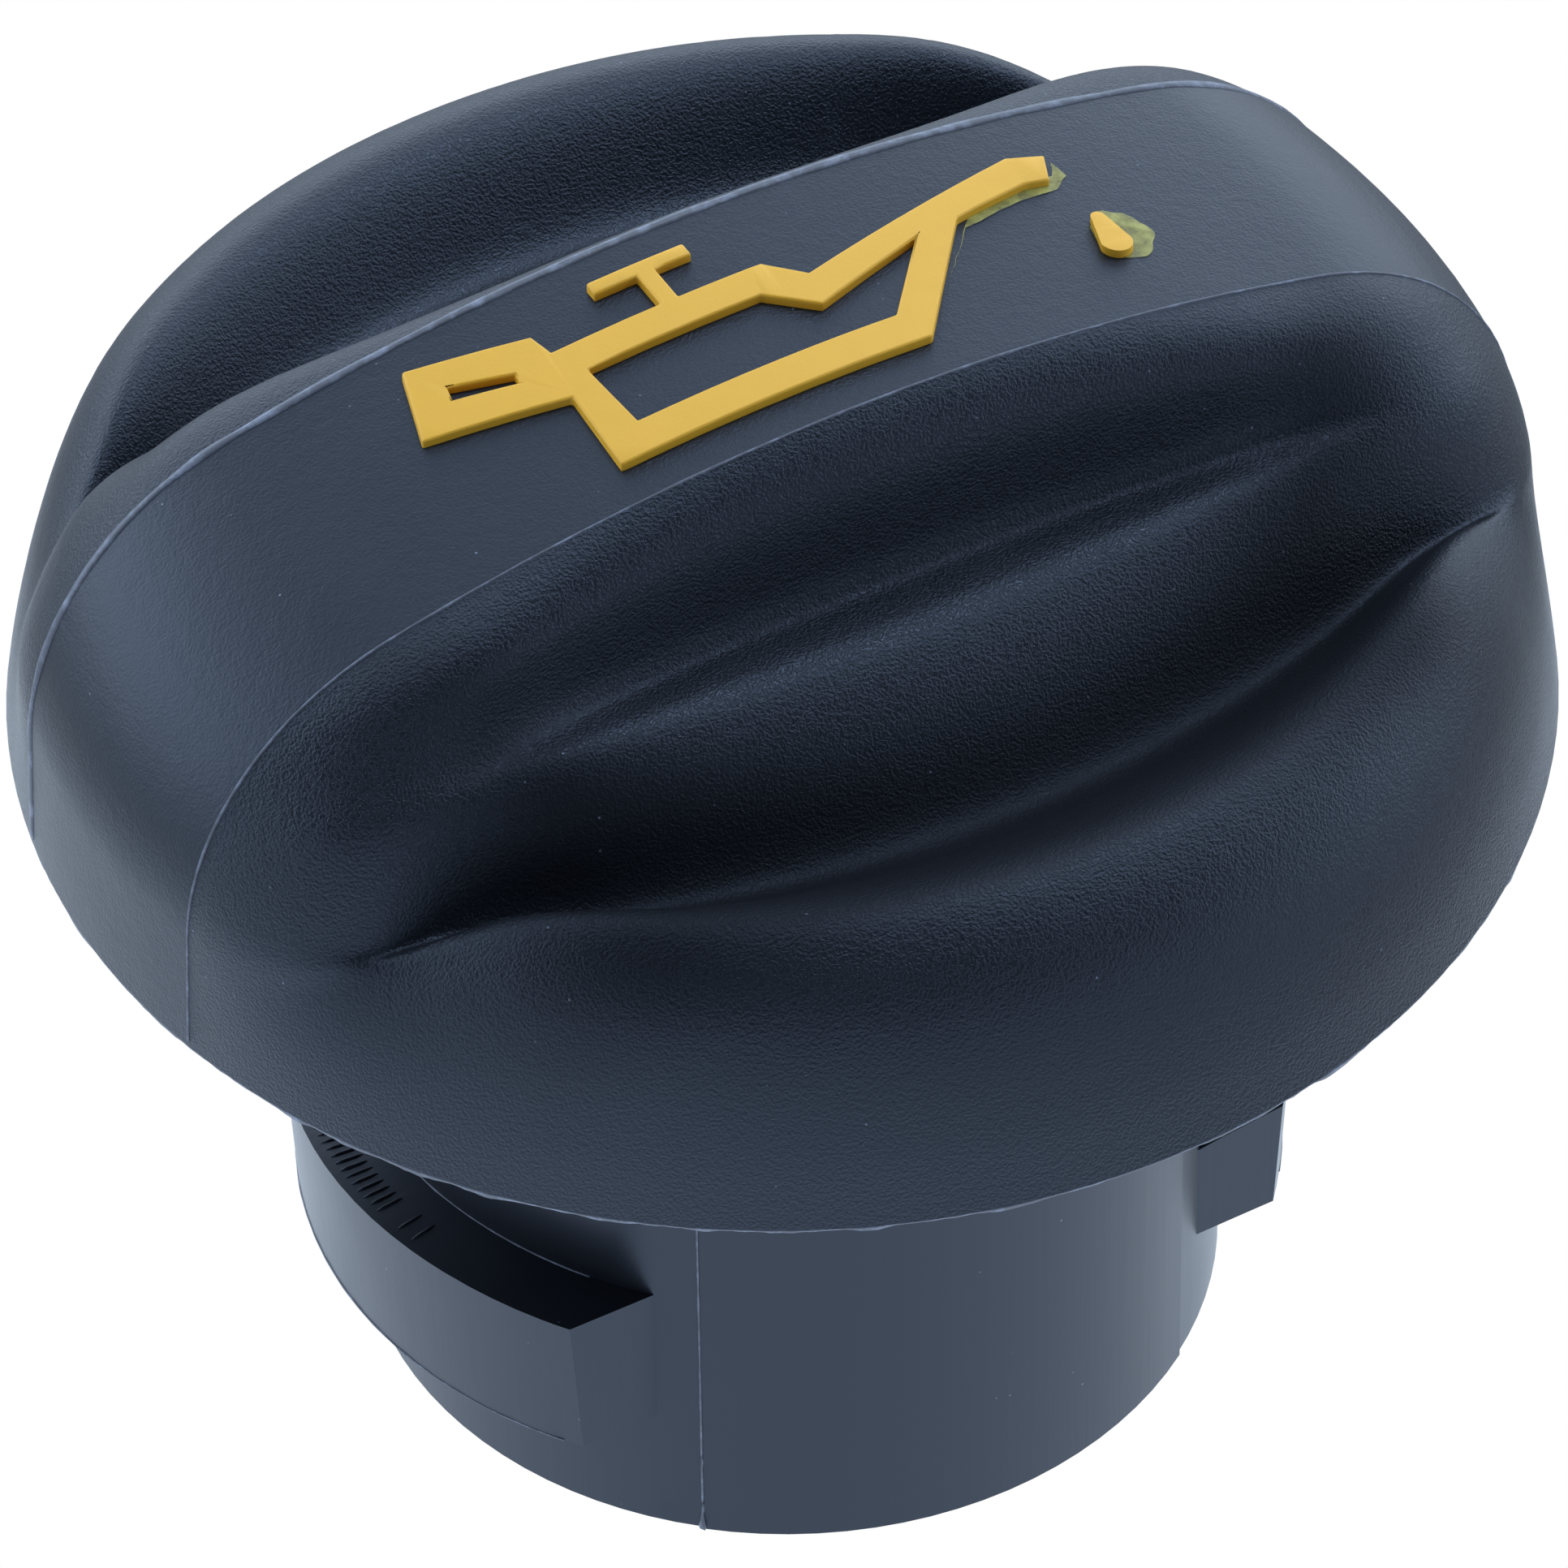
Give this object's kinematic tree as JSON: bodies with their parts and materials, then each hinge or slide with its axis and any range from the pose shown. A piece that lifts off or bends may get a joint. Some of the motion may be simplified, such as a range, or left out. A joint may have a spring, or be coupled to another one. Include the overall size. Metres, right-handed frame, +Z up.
{
  "type": "oil filler cap",
  "caption": "Black moulded oil filler cap with a scooped grip bar, yellow oil can symbol and a bayonet spigot that locks with a quarter turn.",
  "frame": {"origin": "on the cap's axis, in the plane of the tube's foot that the cap stands on", "axes": "+Z up along the axis through the head, +X along the grip bar in the symbol's reading direction, +Y towards the top of the symbol"},
  "size_m": [0.066, 0.066, 0.0545],
  "materials": {
    "black_plastic": "fine spark-eroded grain on the grip sides, smoother on the bar and tube",
    "seal_rubber": "matte",
    "yellow_plastic": "satin"
  },
  "bodies": {
    "root": {"cap_body": "black_plastic", "seal_ring": "seal_rubber", "oil_can_symbol": "yellow_plastic", "oil_drop_symbol": "yellow_plastic"}
  },
  "joints": []
}
